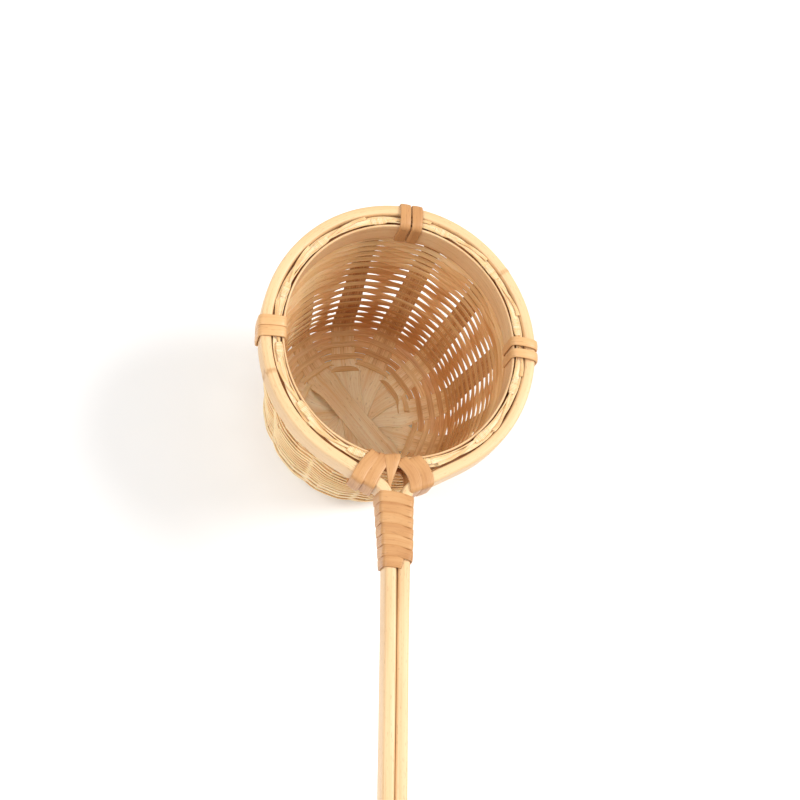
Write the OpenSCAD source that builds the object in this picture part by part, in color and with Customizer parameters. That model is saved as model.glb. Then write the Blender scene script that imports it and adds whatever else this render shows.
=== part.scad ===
// Woven bamboo tea strainer. One long slat is the rim and, where its two ends meet, the handle.
// Millimetres. The basket stands on z = 0 about the Z axis, with the handle along -Y.

/* [Rim and handle] */
// Width of the mouth over the rim slat
rim_w = 76; // [70:1:92]
// Length of the oval mouth over its width
rim_oval = 1.05; // [1:0.01:1.1]
// Thickness of the rim slat
slat_t = 3; // [2.4:0.1:3.8]
// Height of the rim slat
slat_h = 7.5; // [6:0.1:9]
// From the basket's axis to the handle's tip
handle_reach = 175; // [120:1:210]
// Gap between the two handle legs where they run side by side
leg_gap = 0.2; // [0.2:0.1:0.6]

/* [Basket] */
// Height of the strainer over the rim slat
basket_h = 71; // [58:1:86]
// Radius of the flat star that the base strips make
base_r = 14; // [12:0.5:16]
// Radius of the wall just above its rounded foot
foot_r = 29.4; // [26:0.1:31]
// Height of the rounded foot
foot_h = 12.2; // [10:0.1:15]
// Radial room between the wall's middle and the rim slat
border_gap = 1.8; // [1.7:0.1:2.4]

/* [Strips and strands] */
// Width of a base strip where it crosses the others
strip_w = 7.4; // [6:0.1:8.8]
// Width of a base strip where it reaches the rim
strip_top_w = 4.6; // [3.8:0.1:5.4]
// Thickness of a base strip
strip_t = 0.4; // [0.3:0.05:0.5]
// Where the first stake stands round the basket, in degrees from +X
first_stake = 11; // [8:0.5:15]
// Height of a weaving strand
strand_h = 1.5; // [1.2:0.05:1.6]
// Thickness of a weaving strand
strand_t = 0.55; // [0.4:0.05:0.65]
// Distance from one course to the next
course = 1.75; // [1.7:0.05:2.1]
// Height of the band inside the mouth
band_h = 7.9; // [6.5:0.1:9]
// Thickness of the band inside the mouth
band_t = 0.7; // [0.5:0.05:0.8]

/* [Lashing] */
// Width of the cane that lashes the rim
cane_w = 3; // [2.4:0.1:3.6]
// Thickness of the cane
cane_t = 0.6; // [0.4:0.05:0.7]
// Width of the cane round the handle
neck_cane_w = 2.8; // [2.3:0.1:3.4]
// Turns of cane at the top of the handle
neck_turns = 7; // [5:1:9]
// Turns of cane at the handle's tip
tip_turns = 4; // [2:1:6]
// How far the tip of the handle stands out of its binding
tip_bare = 4; // [2:0.5:12]

/* [Hidden] */

strips = 6;                     // that cross at the base, each making two stakes
stakes = 2 * strips;
stake_step = 360 / stakes;
clear = 0.1;                    // between pieces that lie against each other
layer = strip_t + 0.04;         // from one crossing strip to the next

slat_mid_a = rim_w / 2 - slat_t / 2;             // half width of the slat's own centre line
slat_mid_b = rim_w / 2 * rim_oval - slat_t / 2;
wall_r = rim_w / 2 - slat_t - border_gap;        // middle of the wall at the rim
wall_oval = (rim_w / 2 * rim_oval - slat_t - border_gap) / wall_r;
weave_off = strip_t / 2 + clear + strand_t / 2;  // from a stake's middle to a strand's
band_out = wall_r - weave_off - strand_t / 2 - clear;
band_drop = 0.6;                                 // from the slat's top edge to the band's

lash_z = basket_h - max(slat_h, band_h + band_drop) - clear;   // underside of what the lashings hold
lash_top = basket_h + clear;
foot_z = strips * layer / 2;                     // where the wall leaves the star of strips
foot_top = foot_z + foot_h;
foot_len = (foot_r - base_r + foot_h) * PI / 4;  // along the rounded foot
flare_top = basket_h * 0.7;                      // the wall stops flaring here
strip_top = basket_h - 1.4;
end_h = 3;                                       // height of a stake's end where it lies along the rim
end_turn = 1.5 * stake_step;                     // how far round that end runs
end_rise = border_gap - strip_t - 2 * clear;     // how far it moves out while it does

leg_x = leg_gap / 2 + slat_t / 2;                // middle of a handle leg
fork_x = leg_x + 1;                              // the same where the legs part
fork_delta = 27;                                 // the rim's curve ends this far from -Y
fork_y = fork_reach(fork_x);

turn_gap = 0.3;                                  // between the two turns of a lashing
front_tilt = 20;                                 // of the front turns, from -Y towards the arm
front_n = [cos(front_tilt), sin(front_tilt)];
arm_n = let (v = rim_slope(fork_delta)) [-v[1], v[0]];
front_edge = [fork_x + slat_t / 2, fork_y] * front_n + 0.25;   // of the turn nearest the fork
front_at = front_edge + cane_w + turn_gap / 2;   // middle of the two turns on an arm
front_low = front_edge * front_n[1] - (arm_out(front_tilt, front_edge) + cane_t) * front_n[0];
neck_top = front_low - 0.02;
neck_end = neck_top - neck_turns * neck_cane_w;
tip_top = -handle_reach + tip_bare + tip_turns * neck_cane_w;

// Smooth step from 0 to 1
function ease(t) = let (u = max(0, min(1, t))) u * u * (3 - 2 * u);
function turned(p, a) = [p[0] * cos(a) - p[1] * sin(a), p[0] * sin(a) + p[1] * cos(a)];
function reversed(path) = [for (i = [len(path) - 1:-1:0]) path[i]];
function without_first(path) = [for (i = [1:len(path) - 1]) path[i]];
function side(path, i) = let (a = path[max(i - 1, 0)], b = path[min(i + 1, len(path) - 1)])
    [a[1] - b[1], b[0] - a[0]] / norm(b - a);
function beside(path, off) = [for (i = [0:len(path) - 1]) path[i] + side(path, i) * off];
function ribbon(path, t) = concat(beside(path, t / 2), reversed(beside(path, -t / 2)));

// ---- The wall, measured by s along its side: round the foot first and then upright
function wall_at(s) = s < foot_len
    ? let (u = 90 * s / foot_len) [base_r + (foot_r - base_r) * sin(u), foot_top - foot_h * cos(u)]
    : let (up = s - foot_len, flare = ease(up / (flare_top - foot_top)))
        [foot_r + (wall_r - foot_r) * flare, foot_top + up];
function wall_lean(s) = let (v = wall_at(s + 0.2) - wall_at(s - 0.2)) v / norm(v);

// The mouth is oval and the base is round
function oval(z) = 1 + (wall_oval - 1) * ease(z / basket_h);
function polar(r, phi, k) = r / sqrt(pow(cos(phi), 2) + pow(sin(phi) / k, 2));
function wall_polar(s, phi) = let (p = wall_at(s)) polar(p[0], phi, oval(p[1]));
wall_end = foot_len + strip_top - foot_top;

// ---- Rim slat: half of its centre line, from the back to the handle's tip
function rim_point(d) = [slat_mid_a * sin(d), -slat_mid_b * cos(d)];
function rim_slope(d) = let (v = [-slat_mid_a * cos(d), -slat_mid_b * sin(d)]) v / norm(v);
function fork_reach(x) = let (p = rim_point(fork_delta), v = rim_slope(fork_delta))
    p[1] + v[1] * (x - p[0]) / v[0];
function bend(a, b, c, n) = [for (i = [0:n]) let (t = i / n)
    a * pow(1 - t, 2) + b * 2 * t * (1 - t) + c * t * t];

slat_half = concat(
    [for (d = [180:-4.5:fork_delta]) rim_point(d)],
    bend([fork_x + 1.2, fork_reach(fork_x + 1.2)], [fork_x, fork_y], [fork_x, fork_y - 1.2], 6),
    [[leg_x, neck_end], [leg_x, -handle_reach]]);

// How far a leg's centre line is from the middle, at a place along the handle
function leg_at(y) = lookup(-y, [for (p = slat_half) [-p[1], p[0]]]);

module rim_handle_slat() {
    right = ribbon(slat_half, slat_t);
    n = len(slat_half);
    outer = [for (i = [0:n - 1]) right[i]];
    inner = [for (i = [n:2 * n - 1]) right[i]];
    left_outer = [for (p = reversed(outer)) [-p[0], p[1]]];
    left_inner = [for (p = reversed(inner)) [-p[0], p[1]]];
    color([0.93, 0.80, 0.58])
    translate([0, 0, basket_h - slat_h])
    linear_extrude(slat_h)
    polygon(concat(left_outer, without_first(outer), inner, without_first(left_inner)));
}

// ---- Inner band, whose ends meet under the left lashing
function oval_arc(r, k, from, to) = [for (i = [0:72]) let (phi = from + (to - from) * i / 72)
    turned([polar(r, phi, k), 0], phi)];

module inner_band() {
    slit = 0.4;
    color([0.87, 0.70, 0.48])
    translate([0, 0, basket_h - band_drop - band_h])
    linear_extrude(band_h)
    polygon(concat(oval_arc(band_out, oval(basket_h), slit - 180, 180 - slit),
        reversed(oval_arc(band_out - band_t, oval(basket_h), slit - 180, 180 - slit))));
}

// ---- Base strips: each crosses the base and makes two stakes, whose ends lie along the rim
function strip_angle(n) = first_stake + (n - 1) * stake_step;
function strip_half_w(z) = let (share = max(0, z - foot_z) / (basket_h - foot_z))
    (strip_w + (strip_top_w - strip_w) * share) / 2;

foot_steps = 10;
wall_steps = 20;
function strip_side(phi) = concat(
    [for (i = [1:foot_steps]) let (s = foot_len * i / foot_steps) [wall_polar(s, phi), wall_at(s)[1]]],
    [for (i = [1:wall_steps]) let (s = foot_len + (wall_end - foot_len) * i / wall_steps)
        [wall_polar(s, phi), wall_at(s)[1]]]);

// Centre line of strip n in its own upright plane
function strip_path(n) = let (phi = strip_angle(n), z = strip_t / 2 + n * layer)
    concat([for (p = reversed(strip_side(phi + 180))) [-p[0], p[1]]],
        [[-base_r, z], [base_r, z]], strip_side(phi));

function end_point(phi, a) = let (r = wall_polar(wall_end, phi + a) + end_rise * a / end_turn)
    turned([r, 0], phi + a);

module stake_end(phi) {
    translate([0, 0, strip_top - end_h])
    linear_extrude(end_h)
    polygon(ribbon([for (i = [0:12]) end_point(phi, end_turn * i / 12)], strip_t));
}

// The taper of both stakes of a strip, seen from outside
module taper(phi) {
    for (a = [0, 180])
        rotate([90, 0, phi + a + 90])
        linear_extrude(rim_w)
        polygon([[-strip_w / 2, -1], [strip_w / 2, -1], [strip_w / 2, foot_z],
            [strip_top_w / 2, basket_h], [-strip_top_w / 2, basket_h], [-strip_w / 2, foot_z]]);
}

module base_strip(n) {
    phi = strip_angle(n);
    color([0.86, 0.68, 0.45])
    union() {
        intersection() {
            rotate([90, 0, phi])
            translate([0, 0, -strip_w / 2])
            linear_extrude(strip_w)
            polygon(ribbon(strip_path(n), strip_t));
            taper(phi);
        }
        stake_end(phi);
        stake_end(phi + 180);
    }
}

// ---- Weaving: two strands chase each other round the wall, and each passes outside one stake and
// inside the next
first_course = 0.115 * foot_len;
last_course = foot_len + lash_z - cane_t - 2 * clear - foot_top - strand_h / 2;
rise = 2 * course / stakes;     // of a strand from one stake to the next

// Corner c of the strand's section beside stake j, on its near side (e = -1) or its far side (e = 1)
function strand_corner(start, j, out, e, c) =
    let (s = start + rise * (j + 0.2 * e), phi = first_stake + j * stake_step)
    let (p = wall_at(s), t = wall_lean(s), d = out * weave_off + c[1], w = strip_half_w(p[1]) + clear)
    let (q = turned([wall_polar(s, phi) + t[0] * c[0] + t[1] * d, e * w], phi))
    [q[0], q[1], p[1] + t[1] * c[0] - t[0] * d];

lengths = 3;                    // that are spliced into each strand
splice_gap = 0.2;               // between two lengths, just past a stake

// Length n of a strand goes on from the far side of the stake where the length before it ends
module weaver(start, first_side, n) {
    h = strand_h / 2;
    t = strand_t / 2;
    passed = floor((last_course - start) / rise) - 1;
    from = round(passed * (n - 1) / lengths);
    to = round(passed * n / lengths);
    half_w = strip_half_w(wall_at(start + rise * from)[1]);
    first = n == 1 ? [[0, -1], [0, 1]] : [[from, 1 + splice_gap / half_w]];
    places = concat(first, [for (j = [from + 1:to], e = [-1, 1]) [j, e]]);
    points = [for (p = places, c = [[-h, t], [h, t], [h, -t], [-h, -t]])
        strand_corner(start, p[0], p[0] % 2 == 0 ? first_side : -first_side, p[1], c)];
    last = 4 * len(places) - 4;
    sides = [for (r = [0:4:last - 4], c = [0:3]) let (d = (c + 1) % 4)
        [r + c, r + d, r + 4 + d, r + 4 + c]];
    color([0.84, 0.66, 0.43])
    polyhedron(points, concat([[3, 2, 1, 0], [last, last + 1, last + 2, last + 3]], sides),
        convexity = 10);
}

// ---- Lashings: flat cane wound round the slat, the wall and the inner band
function band_in(phi) = polar(band_out - band_t, phi, oval(basket_h)) - clear;
function slat_out(phi) = polar(rim_w / 2, phi, rim_oval) + clear;
function corner(x, y, r, from) = [for (i = [0:4]) let (a = from + i * 22.5)
    [x + r * cos(a), y + r * sin(a)]];
function rounded(x0, x1, y0, y1, r) = concat(corner(x1 - r, y1 - r, r, 0), corner(x0 + r, y1 - r, r, 90),
    corner(x0 + r, y0 + r, r, 180), corner(x1 - r, y0 + r, r, 270));

// A turn of cane of width w round the box x0 to x1 by y0 to y1
module cane_turn(x0, x1, y0, y1, w) {
    translate([0, w / 2, 0])
    rotate([90, 0, 0])
    linear_extrude(w)
    difference() {
        polygon(rounded(x0 - cane_t, x1 + cane_t, y0 - cane_t, y1 + cane_t, 1));
        polygon(rounded(x0, x1, y0, y1, 0.2));
    }
}

module rim_lashing(phi) {
    x0 = sqrt(pow(band_in(phi), 2) - pow(cane_w + turn_gap / 2, 2)) - 0.02;
    x1 = slat_out(phi) + 0.05;
    color([0.87, 0.62, 0.38])
    rotate([0, 0, phi]) {
        for (e = [-1, 1])
            translate([0, e * (cane_w + turn_gap) / 2, 0])
            cane_turn(x0, x1, lash_z, lash_top, cane_w);
        translate([x1, -cane_w / 2, lash_z + 1])
        cube([cane_t, cane_w, cane_w]);
    }
}

// The front lashing has two turns on each arm of the fork, a strip across them and its pointed end
function arm_out(a, at) = let (arm = rim_point(fork_delta) * arm_n + slat_t / 2 + clear)
    (arm - at * ([cos(a), sin(a)] * arm_n)) / ([sin(a), -cos(a)] * arm_n);

module front_turn(e) {
    at = front_at + e * (cane_w + turn_gap) / 2;
    edge = at - cane_w / 2;
    x0 = sqrt(pow(band_in(270), 2) - edge * edge) - 0.1;
    rotate([0, 0, front_tilt - 90])
    translate([0, at, 0])
    cane_turn(x0, arm_out(front_tilt, edge), lash_z, lash_top, cane_w);
}

// Room for the stakes that pass through the bottom of the turns
module stake_room() {
    for (k = [0:stakes - 1])
        rotate([0, 0, first_stake + k * stake_step])
        translate([wall_r - 1, -strip_half_w(lash_z) - 2 * clear, lash_z - 2 * cane_t])
        cube([4, 2 * strip_half_w(lash_z) + 4 * clear, 2 * cane_t + 1]);
}

module lashing_front() {
    across_y = -(band_in(270) + 1.2);
    across = (front_at + turn_gap / 2 - across_y * front_n[1]) / front_n[0] + 0.07;
    color([0.87, 0.62, 0.38])
    difference() {
        union() {
            for (m = [0, 1]) mirror([m, 0, 0]) for (e = [-1, 1]) front_turn(e);
            translate([-across, across_y - cane_w / 2, lash_top])
            cube([2 * across, cane_w, cane_t]);
            translate([0, across_y, lash_top])
            linear_extrude(cane_t)
            polygon([[-cane_w / 2, 0], [cane_w / 2, 0], [0, neck_top + clear - across_y]]);
        }
        stake_room();
    }
}

// ---- Bindings round the two handle legs: each turn is as wide as the legs are where it starts
module leg_turn(y) {
    w = leg_at(y) + slat_t / 2 + clear;
    translate([0, y - neck_cane_w / 2, 0])
    cane_turn(-w, w, basket_h - slat_h - clear, lash_top, neck_cane_w);
}

module binding(top, turns) {
    color([0.88, 0.63, 0.40])
    for (i = [0:turns - 1]) leg_turn(top - i * neck_cane_w);
}

rim_handle_slat();
inner_band();
for (n = [0:strips - 1]) base_strip(n);
for (n = [1:lengths]) weaver(first_course, 1, n);
for (n = [1:lengths]) weaver(first_course + course, -1, n);
rim_lashing(180);  // lashing_left
rim_lashing(0);  // lashing_right
rim_lashing(first_stake + 2.5 * stake_step);  // lashing_back
lashing_front();
binding(neck_top, neck_turns);  // neck_binding
binding(tip_top, tip_turns);  // tip_binding
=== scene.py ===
import bpy
import numpy as np
from mathutils import Matrix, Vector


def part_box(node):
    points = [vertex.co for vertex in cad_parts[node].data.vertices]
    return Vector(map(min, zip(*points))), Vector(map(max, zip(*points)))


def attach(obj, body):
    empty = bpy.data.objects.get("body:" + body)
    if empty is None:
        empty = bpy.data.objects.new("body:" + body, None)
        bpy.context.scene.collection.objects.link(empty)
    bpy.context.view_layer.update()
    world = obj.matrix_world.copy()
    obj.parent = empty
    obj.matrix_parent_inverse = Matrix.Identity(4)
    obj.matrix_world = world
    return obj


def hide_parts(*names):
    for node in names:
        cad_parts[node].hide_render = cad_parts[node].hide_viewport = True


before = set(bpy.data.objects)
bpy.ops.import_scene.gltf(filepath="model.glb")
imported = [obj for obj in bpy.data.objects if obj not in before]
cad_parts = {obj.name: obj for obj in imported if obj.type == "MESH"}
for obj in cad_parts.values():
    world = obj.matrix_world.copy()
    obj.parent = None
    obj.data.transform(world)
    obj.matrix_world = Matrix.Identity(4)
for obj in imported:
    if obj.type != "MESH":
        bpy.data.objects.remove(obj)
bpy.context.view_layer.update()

metre = 0.001  # the shapes below are worked out in millimetres
upwards = np.array([0, 0, 1.0])


def boxOf(node):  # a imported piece's lowest and highest corners, in millimetres
    low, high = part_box(node)
    return np.array(low) / metre, np.array(high) / metre


slatLow, slatHigh = boxOf("rim_handle_slat")
bandLow, bandHigh = boxOf("inner_band")
packedCane = 0.6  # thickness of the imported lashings
lashLow = boxOf("lashing_left")[0][2] + packedCane  # the lowest point that a lashing passes under

rim = {
    "top": slatHigh[2],
    "height": slatHigh[2] - slatLow[2],
    "thick": 3.0,
    "halfWide": slatHigh[0],
    "back": slatHigh[1],
    "tip": slatLow[1],
    "legGap": 0.25,
    "forkSpread": 1.0,  # how far each leg moves out where the fork opens
    "forkDelta": 27,  # degrees from -Y where the rim's curve runs straight
}
rim["a"] = rim["halfWide"] - rim["thick"] / 2  # half axes of the slat's middle line
rim["b"] = rim["back"] - rim["thick"] / 2

wall = {
    "baseRadius": 14.0,  # the star's edge
    "footRadius": 29.4, "footHeight": 12.2,  # the foot's curve ends at this radius, this far above the star
    "layer": 0.44,  # rise from one crossing strip to the next
    "borderGap": 1.8,  # room for the folded ends between band and slat
    "firstStake": 11.0, "stakes": 12,  # degrees from +X, and how many stand in the wall
    "flareShare": 0.7,  # share of the full height where the wall stops widening
}
wall["radius"] = rim["halfWide"] - rim["thick"] - wall["borderGap"]
wall["oval"] = (rim["back"] - rim["thick"] - wall["borderGap"]) / wall["radius"]
wall["starLevel"] = wall["layer"] * 3  # the middle of the six crossing strips
wall["footTop"] = wall["starLevel"] + wall["footHeight"]
wall["footLength"] = (wall["footRadius"] - wall["baseRadius"] + wall["footHeight"]) * np.pi / 4
wall["flareTop"] = rim["top"] * wall["flareShare"]
stakeStep = 360 / wall["stakes"]
print("frame loaded: rim", round(2 * rim["halfWide"], 1), "mm wide,", round(rim["top"], 1), "mm high")


def unit(v):  # each vector divided by its own length
    tiny = 1e-12
    return v / np.maximum(np.linalg.norm(v, axis=-1, keepdims=True), tiny)


def ease(t):  # smooth step from 0 to 1: 3u^2 - 2u^3, with u held between 0 and 1
    u = np.clip(t, 0, 1)
    return u * u * (3 - 2 * u)


# slow hand-made unevenness: four sines of random phase, the k-th (1 + 0.73 k) times faster and 1 + k times
# weaker than the first
def drift(x, seed, wave):
    phase = np.random.default_rng(seed).uniform(0, 2 * np.pi, 4)
    k = np.arange(4)
    turns = np.asarray(x)[..., None] * 2 * np.pi / wave
    return (np.sin(turns * (1 + 0.73 * k) + phase) / (1 + k)).sum(-1) / 2


def lengthAlong(path):  # running sum of the distances from point to point
    return np.concatenate([[0], np.cumsum(np.linalg.norm(np.diff(path, axis=0), axis=1))])


def resample(path, step):  # the same line with points evenly spaced along it
    s = lengthAlong(path)
    t = np.linspace(0, s[-1], max(2, int(round(s[-1] / step)) + 1))
    return np.stack([np.interp(t, s, path[:, k]) for k in range(path.shape[1])], axis=1)


def relax(path, rounds):  # each inner point becomes half itself and a quarter of each neighbour
    p = path.copy()
    for _ in range(rounds):
        p[1:-1] = p[:-2] / 4 + p[1:-1] / 2 + p[2:] / 4
    return p


# rounded rectangle of half width 1 and half thickness 1: |w|^sharp + |t|^sharp = 1
def flatSection(points, sharp):
    a = np.linspace(0, 2 * np.pi, points, endpoint=False)
    w = np.sign(np.cos(a)) * np.abs(np.cos(a)) ** (2 / sharp)
    t = np.sign(np.sin(a)) * np.abs(np.sin(a)) ** (2 / sharp)
    return np.stack([w, t], axis=1)


# flat faces joined by narrow bevels, with a point beside each bevel that keeps the shading flat
def stripSection(bevelWide, bevelThick):
    b, c = 1 - bevelWide, 1 - 2.4 * bevelWide
    half = np.array([[1, 1 - bevelThick], [b, 1], [c, 1], [0, 1], [-c, 1], [-b, 1], [-1, 1 - bevelThick]])
    return np.concatenate([half, -half])


# a profile carried along a path: point + wide * w * halfWide + out * t * halfThick, where out is square to
# the path and to wide, and both sizes may change along the path
def sweep(path, wide, section, halfWide, halfThick):
    along = unit(np.gradient(path, axis=0))
    wide = np.broadcast_to(wide, path.shape)
    out = unit(np.cross(along, wide))
    wide = np.cross(out, along)
    n = len(path)
    w = np.broadcast_to(halfWide, n)[:, None] * section[:, 0]
    t = np.broadcast_to(halfThick, n)[:, None] * section[:, 1]
    return path[:, None] + wide[:, None] * w[..., None] + out[:, None] * t[..., None]


def uvOf(grid):  # u is the length along the middle and v the mean length round the profile, in centimetres
    u = lengthAlong(grid.mean(1)) / 10
    ring = np.linalg.norm(np.diff(np.concatenate([grid, grid[:, :1]], 1), axis=1), axis=2).mean(0)
    v = np.concatenate([[0], np.cumsum(ring)]) / 10
    return u, v


# quads between neighbouring rings and one flat face at each end, all turned over if their volume is negative
def tubeFaces(grid):
    n, m, _ = grid.shape
    i, j = np.meshgrid(np.arange(n - 1), np.arange(m), indexing="ij")
    nextJ = (j + 1) % m
    quads = np.stack([i * m + j, (i + 1) * m + j, (i + 1) * m + nextJ, i * m + nextJ], -1).reshape(-1, 4)
    u, v = uvOf(grid)
    corners = [(i, j), (i + 1, j), (i + 1, j + 1), (i, j + 1)]
    quadUv = np.stack([np.stack([u[p], v[q]], -1) for p, q in corners], 2).reshape(-1, 2)
    ring = np.arange(m)
    firstUv = np.stack([np.full(m, u[0]), v[:-1]], 1)
    lastUv = np.stack([np.full(m, u[-1]), v[:-1][::-1]], 1)
    faces = np.concatenate([quads.reshape(-1), ring, ring[::-1] + (n - 1) * m])
    faceUv = np.concatenate([quadUv, firstUv, lastUv])
    a, b, c, d = (grid.reshape(-1, 3)[quads[:, q]] for q in range(4))
    if (a * np.cross(b, c)).sum() + (a * np.cross(c, d)).sum() < 0:
        turned = np.arange(quads.size).reshape(-1, 4)[:, ::-1].reshape(-1)
        order = np.concatenate([turned, quads.size + ring[::-1], quads.size + m + ring[::-1]])
        faces, faceUv = faces[order], faceUv[order]
    return faces, faceUv, np.concatenate([np.full(len(quads), 4), [m, m]])


# tubes of rings become one mesh, with a tone for each ring or for each of its points
def makePiece(name, grids, material, replaced, tones):
    points, loops, sizes, uvs, tone, start = [], [], [], [], [], 0
    for grid, given in zip(grids, tones):
        faces, faceUv, faceSizes = tubeFaces(grid)
        points.append(grid.reshape(-1, 3) * metre)
        loops.append(faces + start)
        sizes.append(faceSizes)
        uvs.append(faceUv)
        given = np.asarray(given, float)
        given = given if given.ndim == 2 else given.reshape(-1, 1)
        tone.append(np.broadcast_to(given, grid.shape[:2]).ravel())
        start += len(points[-1])
    points, loops, sizes = np.concatenate(points), np.concatenate(loops), np.concatenate(sizes)
    mesh = bpy.data.meshes.new(name)
    mesh.vertices.add(len(points))
    mesh.vertices.foreach_set("co", points.astype(np.float32).ravel())
    mesh.loops.add(len(loops))
    mesh.loops.foreach_set("vertex_index", loops.astype(np.int32))
    mesh.polygons.add(len(sizes))
    loopStart = np.concatenate([[0], np.cumsum(sizes)[:-1]])
    mesh.polygons.foreach_set("loop_start", loopStart.astype(np.int32))
    mesh.update(calc_edges=True)
    mesh.polygons.foreach_set("use_smooth", (sizes == 4))
    uvLayer = mesh.uv_layers.new(name="UVMap")
    uvLayer.data.foreach_set("uv", np.concatenate(uvs).astype(np.float32).ravel())
    toneData = mesh.attributes.new("tone", "FLOAT", "POINT").data
    toneData.foreach_set("value", np.concatenate(tone).astype(np.float32))
    mesh.validate()
    mesh.materials.append(material)
    piece = bpy.data.objects.new(name, mesh)
    bpy.context.scene.collection.objects.link(piece)
    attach(piece, "root")
    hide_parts(*replaced)
    print("made", name, len(mesh.polygons), "faces")


# the wall's radius and height at s, which runs from the star's edge: a quarter ellipse, then a smooth flare
def wallAt(s):
    s = np.asarray(s, float)
    inFoot = s < wall["footLength"]
    u = np.clip(s / wall["footLength"], 0, 1) * np.pi / 2
    footZ = wall["footTop"] - wall["footHeight"] * np.cos(u)
    z = np.where(inFoot, footZ, wall["footTop"] + s - wall["footLength"])
    flare = ease((z - wall["footTop"]) / (wall["flareTop"] - wall["footTop"]))
    footR = wall["baseRadius"] + (wall["footRadius"] - wall["baseRadius"]) * np.sin(u)
    r = np.where(inFoot, footR, wall["footRadius"] + (wall["radius"] - wall["footRadius"]) * flare)
    return r, z


def ovalAt(z):  # the cross section goes from round at the base to the rim's oval
    return 1 + (wall["oval"] - 1) * ease(z / rim["top"])


def polar(r, phi, k):  # radius at phi of an ellipse of half axes r and r * k
    return r / np.sqrt(np.cos(phi) ** 2 + (np.sin(phi) / k) ** 2)


def stakeHalfWide(z):  # a stake narrows evenly from the star to the rim
    share = np.clip((z - wall["starLevel"]) / (rim["top"] - wall["starLevel"]), 0, 1)
    return (strips["baseWide"] + (strips["topWide"] - strips["baseWide"]) * share) / 2


def newMaterial(name):
    material = bpy.data.materials.new(name)
    material.use_nodes = True
    return material, material.node_tree.nodes, material.node_tree.links


# output: stretch along and across the strip, noise offset, detail, and the noise range that becomes 0 to 1
fibreNoise = {
    "Fine": (0.6, 1.0, 3.1, 3, 0.3, 0.7),  # hair-like fibre
    "Broad": (0.25, 0.12, 7.7, 2, 0.3, 0.7),  # slow change of tone
    "Flecks": (6.0, 0.9, 1.3, 1, 0.62, 0.75),  # short dark pores
}


# grain for split bamboo and cane: noise on the piece's own UV, times (along, across), and its painted tone
def fibreGroup():
    group = bpy.data.node_groups.new("fibre", "ShaderNodeTree")
    face = group.interface
    face.new_socket("Across", in_out="INPUT", socket_type="NodeSocketFloat").default_value = 60
    face.new_socket("Along", in_out="INPUT", socket_type="NodeSocketFloat").default_value = 1
    for output in (*fibreNoise, "Tone"):
        face.new_socket(output, in_out="OUTPUT", socket_type="NodeSocketFloat")
    nodes, links = group.nodes, group.links
    given, result = nodes.new("NodeGroupInput"), nodes.new("NodeGroupOutput")
    uv = nodes.new("ShaderNodeUVMap")
    uv.uv_map = "UVMap"
    split = nodes.new("ShaderNodeSeparateXYZ")
    links.new(uv.outputs["UV"], split.inputs[0])
    tone = nodes.new("ShaderNodeAttribute")
    tone.attribute_name = "tone"

    def product(a, b):  # b is another output or a number
        node = nodes.new("ShaderNodeMath")
        node.operation = "MULTIPLY"
        links.new(a, node.inputs[0])
        if hasattr(b, "default_value"):
            links.new(b, node.inputs[1])
        else:
            node.inputs[1].default_value = b
        return node.outputs[0]

    for output, (along, across, offset, detail, low, high) in fibreNoise.items():
        place = nodes.new("ShaderNodeCombineXYZ")
        links.new(product(split.outputs["X"], product(given.outputs["Along"], along)), place.inputs["X"])
        links.new(product(split.outputs["Y"], product(given.outputs["Across"], across)), place.inputs["Y"])
        place.inputs["Z"].default_value = offset
        texture, ranged = nodes.new("ShaderNodeTexNoise"), nodes.new("ShaderNodeMapRange")
        texture.inputs["Scale"].default_value = 1
        texture.inputs["Detail"].default_value = detail
        texture.inputs["Roughness"].default_value = 0.6
        links.new(place.outputs[0], texture.inputs["Vector"])
        ranged.inputs["From Min"].default_value = low
        ranged.inputs["From Max"].default_value = high
        links.new(texture.outputs["Fac"], ranged.inputs["Value"])
        links.new(ranged.outputs[0], result.inputs[output])
    links.new(tone.outputs["Fac"], result.inputs["Tone"])
    return group


fibre = fibreGroup()
# how strongly the grain shows in colour, relief, roughness and bump
grainShares = {"fleckDark": 0.4, "fleckDeep": 0.5, "rough": 0.12, "bump": 0.6}

# stops: pale, middle and dark colour; deep: colour of the pores; across: how fine the grain is; swing: how
# far grain moves the tone; relief: depth in mm; through: share of light let into the strip
finishes = {
    "bambooSlat": {
        "stops": [(0.86, 0.62, 0.365), (0.80, 0.53, 0.275), (0.56, 0.31, 0.13)],
        "deep": (0.36, 0.19, 0.09), "roughness": 0.42, "across": 40, "coat": 0.15, "swing": 0.22},
    "bambooStrip": {
        "stops": [(0.93, 0.76, 0.50), (0.78, 0.49, 0.23), (0.40, 0.16, 0.045)],
        "deep": (0.34, 0.17, 0.07), "roughness": 0.5, "across": 45, "relief": 0.06, "through": 0.15},
    "bambooStrand": {
        "stops": [(0.90, 0.70, 0.43), (0.77, 0.49, 0.23), (0.50, 0.23, 0.07)],
        "deep": (0.34, 0.17, 0.07), "roughness": 0.5, "across": 60, "through": 0.15},
    "bambooBand": {
        "stops": [(0.88, 0.64, 0.38), (0.78, 0.50, 0.26), (0.55, 0.30, 0.13)],
        "deep": (0.36, 0.19, 0.09), "roughness": 0.48, "across": 45, "through": 0.1},
    "cane": {
        "stops": [(0.66, 0.385, 0.175), (0.585, 0.30, 0.12), (0.42, 0.18, 0.065)],
        "deep": (0.30, 0.13, 0.05), "roughness": 0.4, "across": 35, "relief": 0.04,
        "coat": 0.08, "swing": 0.3, "gloss": 0.25},
    "paleCane": {
        "stops": [(0.80, 0.52, 0.27), (0.73, 0.42, 0.185), (0.55, 0.27, 0.11)],
        "deep": (0.34, 0.16, 0.06), "roughness": 0.4, "across": 35, "relief": 0.04,
        "coat": 0.08, "swing": 0.3, "gloss": 0.25},
}


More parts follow.
